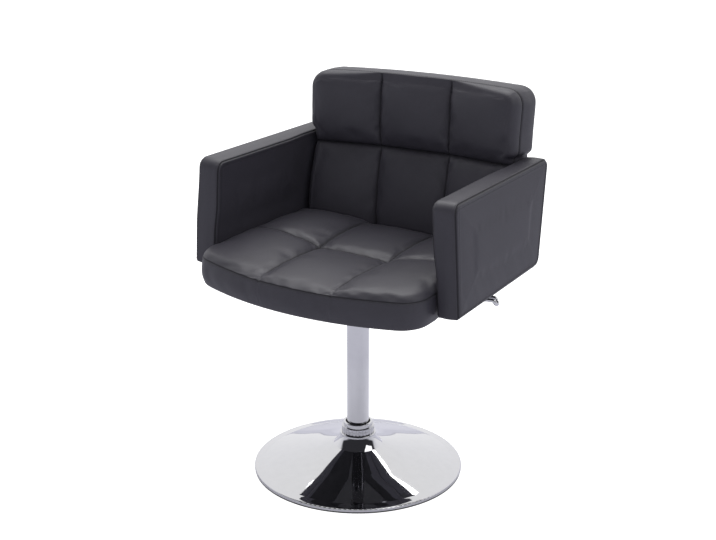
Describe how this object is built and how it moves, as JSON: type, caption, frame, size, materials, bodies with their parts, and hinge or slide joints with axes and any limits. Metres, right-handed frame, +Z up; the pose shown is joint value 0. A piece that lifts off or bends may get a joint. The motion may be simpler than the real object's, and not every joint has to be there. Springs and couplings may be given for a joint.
{
  "type": "swivel dining chair",
  "caption": "Padded swivel armchair: tufted seat and back and box arms in charcoal faux leather on a chrome gas-lift column and a round trumpet base.",
  "frame": {"origin": "on the column's axis at floor level, in the plane of the floor ring's underside", "axes": "+Z up along the column; the chair faces -Y; +X is the side with the lift lever"},
  "size_m": [0.5978, 0.5191, 0.7693],
  "materials": {
    "chrome": "polished chrome plate",
    "black_metal": "black powder coat",
    "steel": "plain zinc-plated steel",
    "aluminium": "turned",
    "rubber": "matte black rubber",
    "black_plastic": "matte black moulding",
    "wood": "unfinished beech and plywood",
    "leather": "fine-grained matte charcoal faux leather",
    "foam": "polyurethane foam",
    "dust_cloth": "black non-woven cloth"
  },
  "bodies": {
    "base": {"base_shell": "chrome", "floor_ring": "rubber", "ballast_plate": "black_metal", "ballast_screws": "steel", "hub_socket": "black_metal", "neck_ring": "chrome", "knurled_nut": "chrome", "nut_cap": "chrome", "column_seal": "rubber", "column_tube": "chrome", "tube_end_plate": "steel", "lower_race": "steel", "guide_bush": "black_plastic"},
    "bearing_cage": {"thrust_balls": "steel", "ball_cage": "black_plastic"},
    "swivel": {"piston_rod": "steel", "upper_race": "steel", "bump_stop": "rubber", "piston": "aluminium", "rod_washer": "steel", "rod_clip": "steel"},
    "seat": {"arm_bolts": "steel", "arm_core_left": "wood", "arm_core_right": "wood", "arm_cover_left": "leather", "arm_cover_right": "leather", "arm_foam_left": "foam", "arm_foam_right": "foam", "arm_inserts": "steel", "arm_washers": "steel", "back_board": "wood", "back_bracket_left": "black_metal", "back_bracket_right": "black_metal", "back_cover": "leather", "back_foam": "foam", "bracket_screws": "steel", "dust_cover": "dust_cloth", "front_rail": "wood", "hub_sleeve": "black_metal", "mounting_board": "wood", "plate_bolts": "steel", "plate_housing": "black_metal", "plate_washers": "steel", "pressure_tube": "black_metal", "rear_rail": "wood", "rocker_bracket": "black_metal", "rocker_pin": "steel", "rod_guide": "aluminium", "seat_cover": "leather", "seat_deck": "wood", "seat_foam": "foam", "seat_plate": "black_metal", "side_rail_left": "wood", "side_rail_right": "wood", "tee_nuts": "steel", "valve_body": "steel"},
    "lever": {"lever_handle": "chrome", "lever_rocker": "black_metal"},
    "valve_pin": {"valve_pin": "steel"}
  },
  "joints": [
    {"name": "swivel_turn", "type": "hinge", "parent": "base", "child": "swivel", "pos_m": [0, 0, 0.02], "axis": [0, 0, 1], "continuous": true},
    {"name": "cage_turn", "type": "hinge", "parent": "base", "child": "bearing_cage", "pos_m": [0, 0, 0.02], "axis": [0, 0, 1], "continuous": true},
    {"name": "lift", "type": "slide", "parent": "swivel", "child": "seat", "axis": [0, 0, 1], "range_m": [0, 0.1]},
    {"name": "lever_lift", "type": "hinge", "parent": "seat", "child": "lever", "pos_m": [0.05516, 0.01792, 0.386], "axis": [0.309, -0.9511, 0], "range_deg": [0, 2.14], "stiffness_Nm_per_rad": 2},
    {"name": "pin_press", "type": "slide", "parent": "seat", "child": "valve_pin", "axis": [0, 0, -1], "range_m": [0, 0.0025]}
  ],
  "couplings": [
    {"joint": "cage_turn", "follows": "swivel_turn", "ratio": 0.5},
    {"joint": "pin_press", "follows": "lever_lift", "m_per_rad": 0.058}
  ]
}
